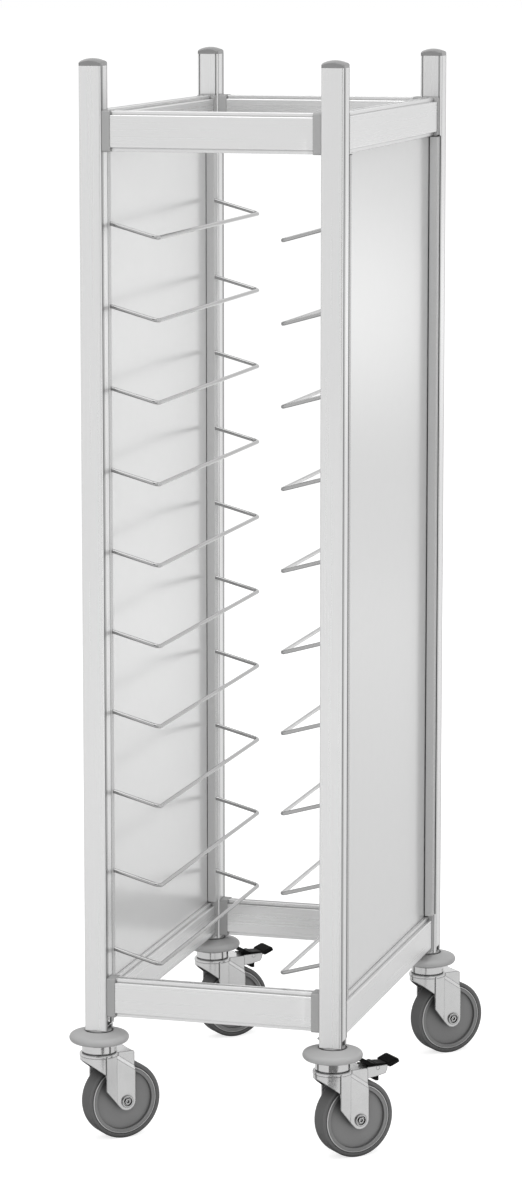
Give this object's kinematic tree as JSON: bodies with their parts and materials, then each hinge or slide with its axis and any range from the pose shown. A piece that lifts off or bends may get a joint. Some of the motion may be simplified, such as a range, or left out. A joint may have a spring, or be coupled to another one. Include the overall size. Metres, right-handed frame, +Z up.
{
  "type": "tray return trolley",
  "caption": "Tall open-fronted trolley of extruded posts and rails with side panels, sloping wire tray supports, round bumpers and braked swivel casters",
  "frame": {"origin": "on the floor midway between the posts", "axes": "+Z up, -Y towards the open front, +X to the right as seen from the front"},
  "size_m": [0.5241, 0.7708, 1.7116],
  "materials": {
    "aluminium": "matt anodised",
    "grey_plastic": "fine matt",
    "strip_plastic": "satin",
    "panel": "satin anodised sheet",
    "wire": "bright drawn wire",
    "zinc_steel": "bright zinc plate",
    "black_plastic": "matt",
    "bumper_plastic": "matt",
    "wheel_plastic": "satin moulded",
    "tyre_rubber": "matt"
  },
  "bodies": {
    "frame": {"post_front_left": "aluminium", "post_front_right": "aluminium", "post_rear_left": "aluminium", "post_rear_right": "aluminium", "top_rail_front": "aluminium", "top_rail_rear": "aluminium", "top_rail_left": "aluminium", "top_rail_right": "aluminium", "bottom_rail_front": "aluminium", "bottom_rail_rear": "aluminium", "bottom_rail_left": "aluminium", "bottom_rail_right": "aluminium", "post_cap_front_left": "grey_plastic", "post_cap_front_right": "grey_plastic", "post_cap_rear_left": "grey_plastic", "post_cap_rear_right": "grey_plastic", "top_rail_connectors": "grey_plastic", "bottom_rail_connectors": "grey_plastic", "support_strip_front_left": "strip_plastic", "support_strip_front_right": "strip_plastic", "support_strip_rear_left": "strip_plastic", "support_strip_rear_right": "strip_plastic", "side_panel_left": "panel", "side_panel_right": "panel", "tray_supports_left": "wire", "tray_supports_right": "wire", "caster_sockets": "black_plastic", "king_pins": "zinc_steel", "bumper_washers": "zinc_steel", "socket_clips": "zinc_steel", "bumper_front_left": "bumper_plastic", "bumper_front_right": "bumper_plastic", "bumper_rear_left": "bumper_plastic", "bumper_rear_right": "bumper_plastic", "swivel_head_front_left": "zinc_steel", "swivel_head_front_right": "zinc_steel", "swivel_head_rear_left": "zinc_steel", "swivel_head_rear_right": "zinc_steel"},
    "caster_front_left": {"fork_front_left": "zinc_steel", "axle_front_left": "zinc_steel"},
    "rolling_wheel_front_left": {"wheel_front_left": "wheel_plastic", "tyre_front_left": "tyre_rubber"},
    "caster_front_right": {"fork_front_right": "zinc_steel", "axle_front_right": "zinc_steel", "brake_bracket_front_right": "zinc_steel", "brake_pin_front_right": "zinc_steel"},
    "rolling_wheel_front_right": {"wheel_front_right": "wheel_plastic", "tyre_front_right": "tyre_rubber"},
    "pedal_front_right": {"brake_pedal_front_right": "black_plastic"},
    "caster_rear_left": {"fork_rear_left": "zinc_steel", "axle_rear_left": "zinc_steel", "brake_bracket_rear_left": "zinc_steel", "brake_pin_rear_left": "zinc_steel"},
    "rolling_wheel_rear_left": {"wheel_rear_left": "wheel_plastic", "tyre_rear_left": "tyre_rubber"},
    "pedal_rear_left": {"brake_pedal_rear_left": "black_plastic"},
    "caster_rear_right": {"fork_rear_right": "zinc_steel", "axle_rear_right": "zinc_steel"},
    "rolling_wheel_rear_right": {"wheel_rear_right": "wheel_plastic", "tyre_rear_right": "tyre_rubber"}
  },
  "joints": [
    {"name": "swivel_front_left", "type": "hinge", "parent": "frame", "child": "caster_front_left", "pos_m": [-0.192, -0.317, 0.138], "axis": [0, 0, 1], "continuous": true},
    {"name": "spin_front_left", "type": "hinge", "parent": "caster_front_left", "child": "rolling_wheel_front_left", "pos_m": [-0.1648, -0.29119, 0.0625], "axis": [-0.6884, 0.7254, 0], "continuous": true},
    {"name": "swivel_front_right", "type": "hinge", "parent": "frame", "child": "caster_front_right", "pos_m": [0.192, -0.317, 0.138], "axis": [0, 0, 1], "continuous": true},
    {"name": "spin_front_right", "type": "hinge", "parent": "caster_front_right", "child": "rolling_wheel_front_right", "pos_m": [0.2192, -0.29119, 0.0625], "axis": [-0.6884, 0.7254, 0], "continuous": true},
    {"name": "brake_front_right", "type": "hinge", "parent": "caster_front_right", "child": "pedal_front_right", "pos_m": [0.24423, -0.26744, 0.141], "axis": [-0.6884, 0.7254, 0], "range_deg": [0, 20]},
    {"name": "swivel_rear_left", "type": "hinge", "parent": "frame", "child": "caster_rear_left", "pos_m": [-0.192, 0.317, 0.138], "axis": [0, 0, 1], "continuous": true},
    {"name": "spin_rear_left", "type": "hinge", "parent": "caster_rear_left", "child": "rolling_wheel_rear_left", "pos_m": [-0.1648, 0.34281, 0.0625], "axis": [-0.6884, 0.7254, 0], "continuous": true},
    {"name": "brake_rear_left", "type": "hinge", "parent": "caster_rear_left", "child": "pedal_rear_left", "pos_m": [-0.13977, 0.36656, 0.141], "axis": [-0.6884, 0.7254, 0], "range_deg": [0, 20]},
    {"name": "swivel_rear_right", "type": "hinge", "parent": "frame", "child": "caster_rear_right", "pos_m": [0.192, 0.317, 0.138], "axis": [0, 0, 1], "continuous": true},
    {"name": "spin_rear_right", "type": "hinge", "parent": "caster_rear_right", "child": "rolling_wheel_rear_right", "pos_m": [0.2192, 0.34281, 0.0625], "axis": [-0.6884, 0.7254, 0], "continuous": true}
  ]
}
